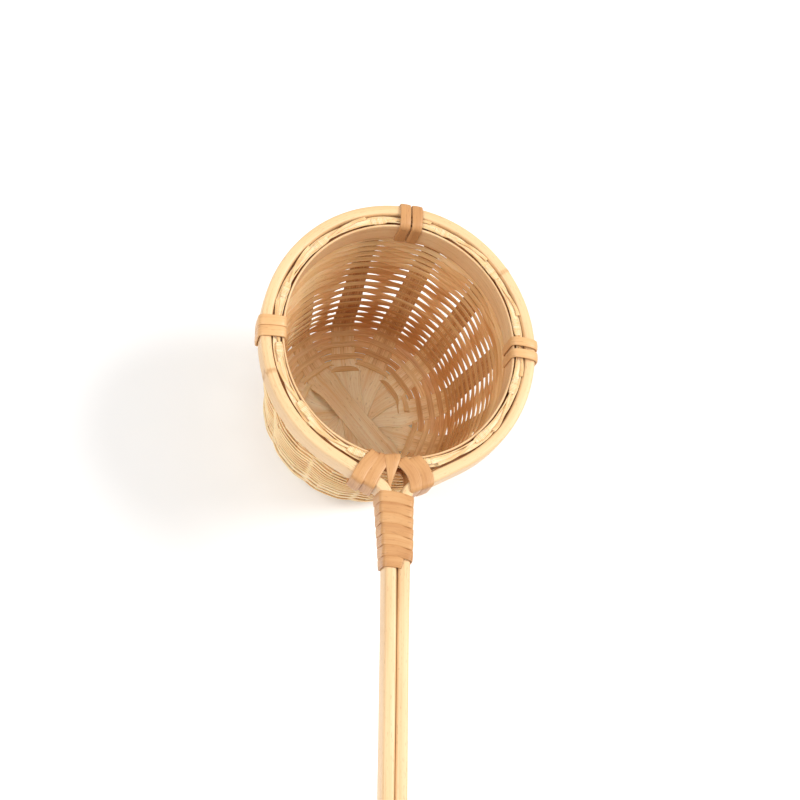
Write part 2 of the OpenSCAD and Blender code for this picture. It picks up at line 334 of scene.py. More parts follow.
# colour is a ramp over swing * (fine + broad - 1) + tone, mixed towards deep in the pores
def strawMaterial(name, stops, deep, roughness, across, relief=0.05, coat=0.0, through=0.0, swing=0.35,
                  gloss=0.35):
    material, nodes, links = newMaterial(name)
    shader = nodes["Principled BSDF"]
    grain = nodes.new("ShaderNodeGroup")
    grain.node_tree = fibre
    grain.inputs["Across"].default_value = across

    def math(operation, a, b):
        node = nodes.new("ShaderNodeMath")
        node.operation = operation
        for k, value in enumerate((a, b)):
            if hasattr(value, "default_value"):
                links.new(value, node.inputs[k])
            else:
                node.inputs[k].default_value = value
        return node.outputs[0]

    fine, flecks = grain.outputs["Fine"], grain.outputs["Flecks"]
    amount = math("ADD", math("MULTIPLY", fine, swing), math("MULTIPLY", grain.outputs["Broad"], swing))
    amount = math("ADD", math("SUBTRACT", amount, swing), grain.outputs["Tone"])
    ramp = nodes.new("ShaderNodeValToRGB")
    ramp.color_ramp.elements.new(0.5)
    for stop, place, colour in zip(ramp.color_ramp.elements, (0.0, 0.5, 1.0), stops):
        stop.position, stop.color = place, (*colour, 1)
    links.new(amount, ramp.inputs["Fac"])
    mix = nodes.new("ShaderNodeMix")
    mix.data_type = "RGBA"
    links.new(math("MULTIPLY", flecks, grainShares["fleckDark"]), mix.inputs["Factor"])
    links.new(ramp.outputs["Color"], mix.inputs[6])
    mix.inputs[7].default_value = (*deep, 1)
    links.new(mix.outputs[2], shader.inputs["Base Color"])
    rough = math("MULTIPLY", fine, grainShares["rough"])
    links.new(math("ADD", rough, roughness - grainShares["rough"] / 2), shader.inputs["Roughness"])
    shader.inputs["Coat Weight"].default_value = coat
    shader.inputs["Specular IOR Level"].default_value = gloss
    shader.inputs["Coat Roughness"].default_value = 0.3
    if through:
        shader.inputs["Subsurface Weight"].default_value = through
        shader.inputs["Subsurface Radius"].default_value = (1.0, 0.42, 0.14)
        shader.inputs["Subsurface Scale"].default_value = 1.5 * metre
    bump = nodes.new("ShaderNodeBump")
    bump.inputs["Strength"].default_value = grainShares["bump"]
    bump.inputs["Distance"].default_value = relief * metre
    pores = math("MULTIPLY", flecks, grainShares["fleckDeep"])
    links.new(math("SUBTRACT", fine, pores), bump.inputs["Height"])
    links.new(bump.outputs[0], shader.inputs["Normal"])
    return material


straw = {name: strawMaterial(name, **finish) for name, finish in finishes.items()}
print("finishes made:", ", ".join(straw))

slat = {
    "step": 0.6, "points": 28, "sharp": 5.5,
    "full": 1.06,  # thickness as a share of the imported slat's
    "legMore": 0.05,  # how much thicker again the legs are
    "legFrom": 0.9, "legRun": 12,  # share of the rim's half length where that starts, and how far it takes
    "unevenThick": 0.02, "unevenHigh": 0.01,
    "legEase": 0.15, "forkLong": 20, "legLong": 40,  # the legs close up over these lengths past the fork
    "bow": 0.55, "bowAt": -46.0, "bowLong": 9.0,  # how far both legs stand to the left just below the fork
    "nodes": [(-36.0, -12.5), (30.5, 23.0), (-2.0, -128.0)],  # where the bamboo's joints cross the slat
    "nodeWide": 0.9, "nodeRise": 0.09,  # each joint's ridge
    "nodeDark": 0.5, "nodeLine": 0.54, "nodeRagged": 0.9,  # and its dark line
    "tone": 0.5, "toneDrift": 0.12,
}


# half the middle line is the ellipse (a sin d, -b cos d) from the back, then straight on its tangent to the
# fork, then a leg along -Y that closes up on the other one; the other half mirrors it
def slatPath():
    legX = rim["legGap"] / 2 + rim["thick"] / 2
    forkX = legX + rim["forkSpread"]
    d = np.radians(np.linspace(180, rim["forkDelta"], 80))
    curve = np.stack([rim["a"] * np.sin(d), -rim["b"] * np.cos(d)], 1)
    slope = curve[-1] - curve[-2]
    forkY = curve[-1, 1] + slope[1] / slope[0] * (forkX - curve[-1, 0])
    legs = np.array([[forkX, forkY], [legX + slat["legEase"], forkY - slat["forkLong"]],
                     [legX, forkY - slat["legLong"]], [legX, rim["tip"]]])
    half = relax(resample(np.concatenate([curve, legs]), slat["step"]), 12)
    half[0] = [0, rim["b"]]
    left = half[::-1] * [-1, 1]
    line = np.concatenate([left[:-1], half])
    line[:, 0] -= slat["bow"] * np.exp(-((line[:, 1] - slat["bowAt"]) / slat["bowLong"]) ** 2)
    return np.column_stack([line, np.full(len(line), rim["top"] - rim["height"] / 2)])


# the slat's section swept along its middle line, with a bell-shaped ridge and a ragged dark line at each of
# the bamboo's joints
def makeSlat():
    path = slatPath()
    s = lengthAlong(path)
    section = flatSection(slat["points"], slat["sharp"])
    halfHigh = rim["height"] / 2 * (1 + slat["unevenHigh"] * (drift(s, seed=3, wave=90) - 1))
    leg = ease((-path[:, 1] - rim["b"] * slat["legFrom"]) / slat["legRun"])
    uneven = slat["unevenThick"] * (drift(s, seed=4, wave=60) - 1)
    halfThick = rim["thick"] / 2 * (slat["full"] + uneven + slat["legMore"] * leg)
    tone = (slat["tone"] + slat["toneDrift"] * drift(s, seed=5, wave=70))[:, None] + 0 * section[:, 0]
    for k, place in enumerate(slat["nodes"]):
        away = s - s[np.argmin(np.linalg.norm(path[:, :2] - place, axis=1))]
        halfThick = halfThick * (1 + slat["nodeRise"] * np.exp(-(away / slat["nodeWide"]) ** 2))
        ragged = away[:, None] + slat["nodeRagged"] * drift(section[:, 0] * 3, seed=11 + k, wave=2.5)
        tone = tone + slat["nodeDark"] * np.exp(-(ragged / slat["nodeLine"]) ** 2)
    grid = sweep(path, upwards, section, halfHigh, halfThick)
    makePiece("rimHandleSlat", [grid], straw["bambooSlat"], ["rim_handle_slat"], [tone])


makeSlat()

band = {
    "outer": bandHigh[0], "thick": 0.7, "inset": 0.05, "points": 14, "sharp": 6,
    "halfTurn": 179.2,  # degrees each way from +X: the ends meet under the left lashing
    "wave": 0.12, "waveOut": 0.08,  # how far it strays up and down, and in and out
    "tone": 0.5, "toneDrift": 0.15,
}


def makeBand():  # a thin strip inside the mouth, on the oval, straying a little both ways
    phi = np.radians(np.linspace(-band["halfTurn"], band["halfTurn"], 400))
    r = polar(band["outer"] - band["thick"] / 2 - band["inset"], phi, ovalAt(rim["top"]))
    r = r + band["waveOut"] * drift(phi, seed=8, wave=2.1)
    z = (bandLow[2] + bandHigh[2]) / 2 + band["wave"] * drift(phi, seed=9, wave=3.0)
    path = np.stack([r * np.cos(phi), r * np.sin(phi), z], 1)
    halfHigh = (bandHigh[2] - bandLow[2]) / 2
    grid = sweep(path, upwards, flatSection(band["points"], band["sharp"]), halfHigh, band["thick"] / 2)
    tone = band["tone"] + band["toneDrift"] * drift(lengthAlong(path), seed=10, wave=40)
    makePiece("innerBand", [grid], straw["bambooBand"], ["inner_band"], [tone])


makeBand()

strips = {  # each crosses the star and stands up on both sides as two stakes
    "baseWide": 7.8, "topWide": 4.6, "thick": 0.42, "points": 20, "sharp": 6, "steps": 150, "step": 0.7,
    "top": rim["top"] - 0.75,
    "flatShare": 0.6, "bendAt": 1.5,  # it lies flat to the star's edge, and bends up from just past it
    "shoulder": 0.95,  # how much wider each half is where the strips leave the star and nearly touch
    "shoulderAt": 1.5, "shoulderLong": 3.3,  # where that is, past the star's edge, and over what length
    "uneven": 0.03, "tone": 0.24, "toneDrift": 0.16,
    "slotShade": 0.6, "slotShadeRun": 7.0,  # painted shade: how much darker the inner face of a stake is up the wall, where it shows in the slots, and how far it takes
}
comb = {  # the block of open fibres where a stake folds over
    "reach": 2.4, "half": 1.02, "thick": 0.34, "top": 0.2, "lane": 0.36, "points": 16, "sharp": 5,
    "reachVary": 0.12, "laneVary": 0.06,
    "tooth": 0.42,  # a tooth's length along the rim
    "toothHigh": 0.1, "toothWide": 0.06,  # how much each tooth stands up, as a share, and out, in mm
    "narrow": 0.6, "endLong": 0.25, "thin": 0.02,  # how the block ends: narrower, and thin at the very end
    # between: painted shade, how much darker the block is in the hollows between its teeth
    "tone": 0.34, "between": 0.22, "toneDrift": 0.15,
}
splitEnd = {  # what all of them share
    "points": 12, "sharp": 3.5, "steps": 70,
    "laneVary": 0.03, "tilt": 0.35, "uneven": 0.1, "toneDrift": 0.15,
}
# split ends along the rim: where each starts past its fold, in radians, its seed, its lanes, half widths,
# depth below the rim, how far it sinks, half thickness, degrees it runs, and tone, painted shade for the two
# deepest ends
splitEnds = [
    (0.0, 0, (0.34, 0.74), (0.92, 0.5), 0.55, 0.75, 0.24, 37.5, 0.3),
    (0.1, 10, (0.8, 0.2), (0.5, 0.3), 0.2, 0.5, 0.2, 26.625, 0.36),
    (0.05, 20, (0.1, 0.24), (0.17, 0.22), 0.3, 0.4, 0.2, 26.625, 0.35),
    # the last two run deepest, under the others, and their tone of 1.0 is painted shade that makes the gaps
    # between the upper ends read dark
    (-0.03, 30, (0.72, 0.7), (0.8, 0.8), 2.9, 0.6, 0.2, 34.0, 1.0),
    (0.2, 40, (0.24, 0.26), (0.8, 0.8), 3.4, 0.6, 0.2, 34.0, 1.0),
]


# points along the rim at a share, lane, of the way from the band's outside to the slat's inside, with the
# outward direction and the radius
def alongRim(phi, lane, z):
    low = polar(band["outer"], phi, ovalAt(rim["top"]))
    innerA, innerB = rim["a"] - rim["thick"] / 2, rim["b"] - rim["thick"] / 2
    high = polar(innerA, phi, innerB / innerA)
    r = low + (high - low) * lane
    path = np.stack([r * np.cos(phi), r * np.sin(phi), z + 0 * phi], 1)
    return path, np.stack([np.cos(phi), np.sin(phi), 0 * phi], 1), r


# a short block along the rim whose width and top follow a squared-off sine, tanh(4 sin(2 pi a / tooth)),
# with painted shade in the hollows between the teeth
def combGrid(phi, seed):
    middle = alongRim(np.array([phi]), 0.5, 0)[2][0]
    reach = comb["reach"] * (1 + comb["reachVary"] * drift(seed, seed=70, wave=3))
    a = np.linspace(-reach, reach, 90)
    lane = comb["lane"] + comb["laneVary"] * drift(seed, seed=71, wave=3)
    path, wide, _ = alongRim(phi + a / middle, lane, rim["top"] - comb["top"] - comb["thick"])
    saw = np.tanh(4 * np.sin(2 * np.pi * a / comb["tooth"] + seed))
    ends = np.clip((reach - np.abs(a)) / comb["endLong"], 0, 1) ** 0.5
    halfWide = comb["half"] + comb["toothWide"] * saw
    halfWide = halfWide * np.sqrt(1 - comb["narrow"] * (a / reach) ** 2)
    halfThick = comb["thick"] * ends * (1 + comb["toothHigh"] * saw) + comb["thin"]
    # painted shade darkens the hollows between the teeth
    tone = comb["tone"] + comb["between"] * (saw < 0) + comb["toneDrift"] * drift(a, seed=seed, wave=2)
    section = flatSection(comb["points"], comb["sharp"])
    return sweep(path, wide, section, halfWide, halfThick), np.clip(tone, 0, 1)


# a split end runs along the rim from its own fold to the next: it changes lane by ease(t) and sinks by t^1.3
def splitEndGrid(phi, seed, lanes, halfWide, top, drop, halfThick, turn, tone):
    t = np.linspace(0, 1, splitEnd["steps"])
    lane = lanes[0] + (lanes[1] - lanes[0]) * ease(t) + splitEnd["laneVary"] * drift(t, seed=seed, wave=0.6)
    path, wide, _ = alongRim(phi + np.radians(turn) * t, lane, rim["top"] - top - drop * t ** 1.3)
    tilt = splitEnd["tilt"] * drift(t, seed=seed + 1, wave=1.5)
    wide = wide * np.cos(tilt)[:, None] + upwards * np.sin(tilt)[:, None]
    half = halfWide[0] + (halfWide[1] - halfWide[0]) * t
    half = half * (1 + splitEnd["uneven"] * drift(t, seed=seed + 2, wave=0.5))
    grid = sweep(path, wide, flatSection(splitEnd["points"], splitEnd["sharp"]), half, halfThick)
    return grid, tone + splitEnd["toneDrift"] * drift(t * 40, seed=seed + 3, wave=25)


def borderGrids(phi, seed):  # everything that one folded stake adds to the border
    ends = [splitEndGrid(phi + start, seed + more, *shape) for start, more, *shape in splitEnds]
    return [combGrid(phi, seed)] + ends


# half the line goes out over the star at its own layer and up the wall in one upright plane, and the other
# half does the same the other way
def stripPath(n):
    phi = np.radians(wall["firstStake"] + (n - 1) * stakeStep)
    level = strips["thick"] / 2 + n * wall["layer"]
    s = np.linspace(strips["bendAt"], wall["footLength"] + strips["top"] - wall["footTop"], strips["steps"])
    halves = []
    for side in (0, np.pi):
        r, z = wallAt(s)
        r = polar(r, phi + side, ovalAt(z))
        outward = np.r_[0, wall["baseRadius"] * strips["flatShare"], wall["baseRadius"], r]
        line = np.stack([outward, np.r_[level, level, level, z]], 1)
        halves.append(relax(resample(line, strips["step"]), 4))
    return phi, np.concatenate([halves[1][::-1] * [-1, 1], halves[0][1:]])


# a tapering strip with a bell-shaped shoulder at the star's edge, with painted shade that darkens its inner
# face up the wall
def makeStrip(n):
    phi, line = stripPath(n)
    flat = np.array([np.cos(phi), np.sin(phi)])
    path = np.column_stack([line[:, :1] * flat, line[:, 1]])
    sideways = np.array([-np.sin(phi), np.cos(phi), 0])
    s = lengthAlong(path)
    pastStar = np.abs(line[:, 0]) - wall["baseRadius"]
    wide = stakeHalfWide(line[:, 1]) * (1 + strips["uneven"] * drift(s, seed=20 + n, wave=35))
    shoulder = np.exp(-((pastStar - strips["shoulderAt"]) / strips["shoulderLong"]) ** 2)
    wide = wide + strips["shoulder"] * shoulder
    section = flatSection(strips["points"], strips["sharp"])
    grids = [sweep(path, sideways, section, wide, strips["thick"] / 2)]
    # painted shade on the inner face, past the star and up the wall, where the stakes lie behind the strands
    upright = 0.5 * ease((pastStar - 1) / strips["slotShadeRun"])
    upright += 0.5 * ease((line[:, 1] - 2 * strips["slotShadeRun"] / 3) / strips["slotShadeRun"])
    inside = np.where(section[:, 1] > -0.3, strips["slotShade"], 0)
    tone = strips["tone"] + strips["toneDrift"] * drift(s + 400 * n, seed=30, wave=60)
    tones = [tone[:, None] + upright[:, None] * inside]
    for side, more in ((0, 0), (np.pi, 20)):
        for grid, tone in borderGrids(phi + side, 100 + 40 * n + more):
            grids.append(grid)
            tones.append(tone)
    replaced = [f"base_strip_{n + 1}"]
    makePiece(f"baseStrip{n + 1}", grids, straw["bambooStrip"], replaced, tones)


for n in range(6):
    makeStrip(n)

strand = {  # two strands chase each other up the wall, outside and inside the stakes by turns
    "high": 1.28, "thick": 0.38, "course": 1.75, "perStake": 12,
    "snap": 1.9,  # how suddenly a strand changes sides between two stakes
    "clear": 0.03, "edgeClear": 0.15,  # room between a strand and a stake's face, and beside its edge
    "shorter": 6,  # how many stakes sooner the second strand ends
    "endBelow": 1.5,  # how far under the lashings the last course runs
    "lengths": 3,  # each strand is spliced from this many
    "start": 0.06,  # share of the foot's length where the first course runs
    "crowd": 0.09,  # how much closer the upper courses sit than the lower ones
    "waver": 0.05, "uneven": 0.06,  # how far it strays up and down, and how much its width changes
    "openSide": 0.3,  # the side, as an angle from +X, where the courses stay open nearest to the rim
    "denseFrom": 0.40, "denseSwing": 0.22, "denseFade": 0.15,  # shares of the height where they close up
    "footTo": 0.07, "footFade": 0.08,  # and down to where they are close round the foot
    "lean": 5, "denseLean": 24,  # degrees that the upper edge stands out, in the open and the dense courses
    "topHigh": 0.37,  # how much taller the strands are, for their courses, near the mouth
    "footHigh": 0.36,  # and round the foot
    "crossHigh": 0.34, "crossShare": 0.13,  # and where two strands cross between the stakes
    "bevelWide": 0.12, "bevelThick": 0.4,
    "tone": 0.24, "toneDrift": 0.24, "skin": 0.36,  # skin: how much paler the outer face is
    "paintedShade": 0.52, "shadeTop": 1.25,  # painted shade: how much darker they are low down, fading out above this share
    "shadeSide": 0.8, "shadeRise": 0.25, "shadeFoot": 0.35,  # more painted shade on the open side, whose inner face turns away from the key lamp, and less at the foot
}
strand["last"] = wall["footLength"] + lashLow - strand["endBelow"] - wall["footTop"]


# j counts stakes along the strand; height rises evenly with j, with the upper courses crowded by
# x + crowd * x * (1 - x); the radius follows the flat-sided wall, and tanh(snap * cos(pi * j)) takes the
# strand from one face of a stake to the other face of the next
def strandPath(startCourse, firstSide):
    start = strand["start"] * wall["footLength"]
    rise = 2 * strand["course"] / wall["stakes"]
    count = int((strand["last"] - start) / rise) - (strand["shorter"] if startCourse else 0)
    j = np.linspace(0, count, count * strand["perStake"] + 1)
    x = (rise * j + startCourse * strand["course"]) / (strand["last"] - start)
    s = start + (strand["last"] - start) * (x + strand["crowd"] * x * (1 - x))
    phi = np.radians(wall["firstStake"] + j * stakeStep)
    a = np.radians((j - np.round(j)) * stakeStep)
    r, z = wallAt(s)
    r = polar(r, phi, ovalAt(z))
    edge = np.arctan((stakeHalfWide(z) + strand["edgeClear"]) / r)
    half = np.radians(stakeStep / 2)
    between = np.cos(half - edge) / np.cos(edge) / np.cos(half - np.abs(a))
    flat = np.where(np.abs(a) < edge, 1 / np.cos(a), between)
    before, after = wallAt(s - 0.2), wallAt(s + 0.2)
    lean = unit(np.stack([after[0] - before[0], after[1] - before[1]], 1))
    off = strips["thick"] / 2 + strand["clear"] + strand["thick"] / 2
    off = firstSide * off * np.tanh(strand["snap"] * np.cos(np.pi * j)) / np.tanh(strand["snap"])
    rr = r * flat + lean[:, 1] * off
    zz = z - lean[:, 0] * off + strand["waver"] * drift(j, seed=40 + startCourse, wave=7.3)
    path = np.stack([rr * np.cos(phi), rr * np.sin(phi), zz], 1)
    wide, taller = strandSet(z / rim["top"], j, phi, lean)
    pitch = 1 + strand["crowd"] * (1 - 2 * x)
    return relax(path, 2), wide, strand["high"] / 2 * pitch * taller


# how a strand is set in the wall: its width direction leans out, and it is taller, where courses are dense
def strandSet(share, j, phi, lean):
    denseFrom = strand["denseFrom"] + strand["denseSwing"] * np.cos(phi - strand["openSide"])
    high = ease((share - denseFrom) / strand["denseFade"])
    low = 1 - ease((share - strand["footTo"]) / strand["footFade"])
    dense = np.maximum(high, low)
    turn = np.radians(strand["lean"] + (strand["denseLean"] - strand["lean"]) * dense)
    c, d = np.cos(turn), np.sin(turn)
    leaned = np.stack([lean[:, 0] * c + lean[:, 1] * d, lean[:, 1] * c - lean[:, 0] * d], 1)
    wide = np.stack([leaned[:, 0] * np.cos(phi), leaned[:, 0] * np.sin(phi), leaned[:, 1]], 1)
    crossing = np.exp(-(((j % 1) - 0.5) / strand["crossShare"]) ** 2)
    taller = 1 + strand["topHigh"] * high + strand["footHigh"] * low
    return wide, taller + strand["crossHigh"] * crossing * (1 - dense)


# the whole strand as one grid, with painted shade that darkens it low down and on the open side, cut into
# its spliced lengths
def makeStrand(name, node, startCourse, firstSide):
    path, wide, halfHigh = strandPath(startCourse, firstSide)
    s = lengthAlong(path)
    share = path[:, 2] / rim["top"]
    facing = np.cos(np.arctan2(path[:, 1], path[:, 0]) - strand["openSide"])
    halfHigh = halfHigh * (1 + strand["uneven"] * drift(s, seed=50 + startCourse, wave=19))
    section = stripSection(strand["bevelWide"], strand["bevelThick"])
    grid = sweep(path, wide, section, halfHigh, strand["thick"] / 2)
    # painted shade: darker low down in the basket and on the side facing away from the key lamp, less at the
    # foot
    paintedShade = np.clip(strand["shadeTop"] - share, 0, 1) * (1 + strand["shadeSide"] * facing)
    paintedShade = paintedShade * ease(share / strand["shadeRise"] + strand["shadeFoot"])
    tone = strand["tone"] + strand["toneDrift"] * drift(s, seed=60 + startCourse, wave=170)
    tone = (tone + strand["paintedShade"] * paintedShade)[:, None] - strand["skin"] * (section[:, 1] > 0.3)
    cuts = np.linspace(0, len(path) - 1, strand["lengths"] + 1).astype(int)
    for k in range(strand["lengths"]):
        part = slice(cuts[k] + (1 if k else 0), cuts[k + 1] + 1)
        makePiece(f"{name}{k + 1}", [grid[part]], straw["bambooStrand"],
                  [f"{node}_{k + 1}"], [tone[part]])


makeStrand("weaverA", "weaver_a", 0, 1)
makeStrand("weaverB", "weaver_b", 1, -1)

cane = {
    "thick": 0.56, "points": 16, "sharp": 5, "crown": 0.35, "step": 0.3,
    "tone": 0.5, "toneDrift": 0.2, "stray": 0.12,  # stray: how far a turn wanders sideways
    "lift": 0.33,  # how high its middle lies over the rim
    "below": 0.3, "underSlat": 0.35,  # how far it hangs below the wall's upper courses and below the slat
    "shoulder": 0.5,  # how far below the top the turn comes over the band
    "depth": 4,  # the middle of its loop lies this far below the rim's top
}


def smoothLoop(corners, rounds):  # a closed outline whose corners are rounded by averaging neighbours
    line = resample(np.array(corners + corners[:1], float), cane["step"])[:-1]
    for _ in range(rounds):
        line = np.roll(line, 1, 0) / 4 + line / 2 + np.roll(line, -1, 0) / 4
    return line


# cane carried along a path: a flat section with crown * (1 - w^2) added on the side that looks along away
def caneGrid(path, wide, halfWide, thick, sharp, away):
    along = unit(np.gradient(path, axis=0))
    out = np.cross(along, np.broadcast_to(wide, path.shape))
    section = flatSection(cane["points"], sharp)
    section[:, 1] += cane["crown"] * (1 - section[:, 0] ** 2) * (section[:, 1] > 0)
    if (out * away).sum() < 0:
        section = section[::-1] * [1, -1]
    return sweep(path, wide, section, halfWide, thick / 2)


# degrees: place round the rim; tilt: slant of the turns; apart: distance between the two turns;
# bulge: how far they stand up over the border
lashings = {
    "lashingLeft": {"node": "lashing_left", "finish": "paleCane", "degrees": 180, "tilt": 0.02,
                    "apart": 3.1, "halfWide": 1.5, "bulge": 0.15, "seed": 201},
    "lashingRight": {"node": "lashing_right", "finish": "paleCane", "degrees": 0, "tilt": -0.1,
                     "apart": 3.5, "halfWide": 1.3, "bulge": 0.7, "seed": 203},
    "lashingBack": {"node": "lashing_back", "finish": "cane", "degrees": 86, "tilt": 0.06,
                    "apart": 3.4, "halfWide": 1.5, "bulge": 0.3, "seed": 205},
}
lashing = {
    "inset": 0.45, "outset": 0.38,  # room for the cane inside the band and outside the slat
    "turns": 1.97, "changeFrom": 0.72, "changeLong": 0.26,  # shares of a turn where it moves over
    "innerRun": 0.9, "outerRun": 1, "outerDrop": 0.3, "under": 0.4,  # the outline's rounded corners
    "rounds": 14, "uneven": 0.03,
}


# an outline round band, border and slat, run almost twice, moving over by one width underneath
def makeLashing(name, node, finish, degrees, tilt, apart, halfWide, bulge, seed):
    phi = np.radians(degrees)
    flat, side = np.array([np.cos(phi), np.sin(phi), 0]), np.array([-np.sin(phi), np.cos(phi), 0])
    inside = polar(band["outer"] - band["thick"], phi, ovalAt(rim["top"])) - lashing["inset"]
    outside = polar(rim["halfWide"], phi, rim["back"] / rim["halfWide"]) + lashing["outset"]
    middle = (inside + outside) / 2
    slatIn = outside - rim["thick"] - lashing["under"]
    top, low = rim["top"] + cane["lift"], slatLow[2] - cane["underSlat"]
    corners = [[inside, lashLow - cane["below"]], [inside, top - cane["shoulder"]],
               [inside + lashing["innerRun"], top + bulge / 2], [middle, top + bulge],
               [outside - lashing["outerRun"], top + bulge / 2], [outside, top - lashing["outerDrop"]],
               [outside, low], [slatIn, low]]
    loop = smoothLoop(corners, lashing["rounds"])
    n = len(loop)
    q = np.arange(int(n * lashing["turns"])) / n
    line = loop[np.arange(len(q)) % n]
    lane = apart * (ease((q - lashing["changeFrom"]) / lashing["changeLong"]) - 0.5)
    lane = lane + cane["stray"] * drift(q, seed=seed, wave=0.8) + tilt * (line[:, 0] - middle)
    path = line[:, :1] * flat + lane[:, None] * side + line[:, 1:] * upwards
    halfWide = halfWide * (1 + lashing["uneven"] * drift(q, seed=81, wave=0.9))
    away = path - flat * middle - upwards * (rim["top"] - cane["depth"])
    grid = caneGrid(path, side, halfWide, cane["thick"], cane["sharp"], away)
    tone = cane["tone"] + cane["toneDrift"] * drift(np.arange(len(grid)), seed=seed + 1, wave=90)
    makePiece(name, [grid], straw[finish], [node], [tone])


for name, shape in lashings.items():
    makeLashing(name, **shape)

frontTurns = [  # where each turn crosses the band's edge and the slat's outer edge, and how far it bows
    ((-6.6, -33.6), (-11.1, -40.4), -0.5),
    ((-4.0, -34.4), (-8.0, -41.5), -0.3),
    ((1.0, -34.9), (4.5, -42.1), 0.9),
    ((4.4, -34.2), (7.4, -40.9), 0.9),
]
front = {
    "wide": 3.5, "rounds": 12,
    "skew": 2.0,  # how far a turn moves away from the fork on its way down inside
    "inside": 1.1, "past": 0.3,  # how far it hangs inside the band's edge and past the slat's
    "bandRun": 0.3, "bandDrop": 0.12, "slatRun": 3.2, "under": 3.4,  # its corners over band and slat
    "tailHalf": 2.3, "tailNarrow": 0.62, "tailPoint": 0.06,  # half width, where it narrows, and its point
    "tail": [[-1.9, -32.9, 66], [-1.9, -32.9, 70.7], [-2.0, -34.6, 71.5], [-2.3, -38.5, 71.2],
             [-2.4, -42.6, 70.2]],
    "tailWide": (1.0, 0.12, 0), "tailCentre": (-3, -38, 66.0), "tailTone": 0.45, "tailDrift": 0.1,
}


# a turn over one arm: its lane bows by a half sine on top, and moves away from the fork further down
def frontTurn(inner, outer, bow, k):
    inner, outer = np.array(inner), np.array(outer)
    a = unit(outer - inner)
    side = np.array([-a[1], a[0], 0])
    reach = np.linalg.norm(outer - inner) + front["past"]
    top, low = rim["top"] + cane["lift"], slatLow[2] - cane["underSlat"]
    corners = [[-front["inside"], lashLow - cane["below"]], [-front["inside"], top - cane["shoulder"]],
               [front["bandRun"], top - front["bandDrop"]], [reach - front["slatRun"], top], [reach, top],
               [reach, low], [reach - front["under"], low]]
    loop = smoothLoop(corners, front["rounds"])
    n = len(loop)
    lane = cane["stray"] * drift(np.arange(n) / n, seed=210 + k, wave=0.8)
    lane += bow * np.sin(np.pi * np.clip(loop[:, 0] / reach, 0, 1))
    inward = ease((reach - front["past"] - loop[:, 0]) / (reach - 1))
    down = ease((top - cane["shoulder"] - loop[:, 1]) / rim["height"])
    lane += np.sign(bow) * front["skew"] * inward * down
    path = np.column_stack([inner + loop[:, :1] * a, loop[:, 1]]) + lane[:, None] * side
    path = path[:-2]  # the turn's two ends stay a hair apart
    away = path - np.append(inner + a * reach / 2, rim["top"] - cane["depth"])
    grid = caneGrid(path, side, front["wide"] / 2, cane["thick"], cane["sharp"], away)
    return grid, cane["tone"] + cane["toneDrift"] * drift(np.arange(n - 2) + 50 * k, seed=215, wave=60)


def frontTail():  # the strip between the arms, narrowing evenly to a point tucked under the neck binding
    line = relax(resample(np.array(front["tail"]), cane["step"]), 6)
    t = np.linspace(0, 1, len(line))
    half = front["tailHalf"] * np.clip((1 - t) / front["tailNarrow"], front["tailPoint"], 1)
    away = line - np.array(front["tailCentre"])
    grid = caneGrid(line, np.array(front["tailWide"]), half, cane["thick"], cane["sharp"], away)
    return grid, front["tailTone"] + front["tailDrift"] * drift(t, seed=218, wave=1)


parts = [frontTurn(*turn, k) for k, turn in enumerate(frontTurns)] + [frontTail()]
grids, tones = zip(*parts)
makePiece("lashingFront", grids, straw["cane"], ["lashing_front"], tones)

bindings = {
    "neckBinding": {"node": "neck_binding", "start": -44.0, "turns": 6.42, "pitch": 2.85,
                    "wide": 2.95, "seed": 221},
    "tipBinding": {"node": "tip_binding", "start": None, "turns": 4.1, "pitch": 2.8,
                   "wide": 2.85, "seed": 223},
}
winding = {
    "thick": 0.44, "sharp": 4, "lift": 0.25, "perTurn": 0.006, "rounds": 9,
    "uneven": 0.02, "toneDrift": 0.22,
    "at": [0, 0.26, 0.5, 0.76, 1],  # shares of a turn where the cane reaches the next corner round the legs
    "driftAt": [0, 0.26, 0.38, 0.5, 0.76, 1],  # shares of a turn
    "drift": [0, 0.16, 0.2, 0.58, 0.7, 1],  # and the share of the pitch that it has moved down by then
}


def legSides(y):  # the outer faces of the left and the right leg
    path = slatPath()
    middle = len(path) // 2
    halfThick = rim["thick"] / 2 * (slat["full"] + slat["legMore"])
    sides = []
    for sign, leg in ((-1, path[:middle]), (1, path[middle:])):
        order = np.argsort(leg[:, 1])
        sides.append(np.interp(y, leg[order, 1], leg[order, 0]) + sign * halfThick)
    return sides


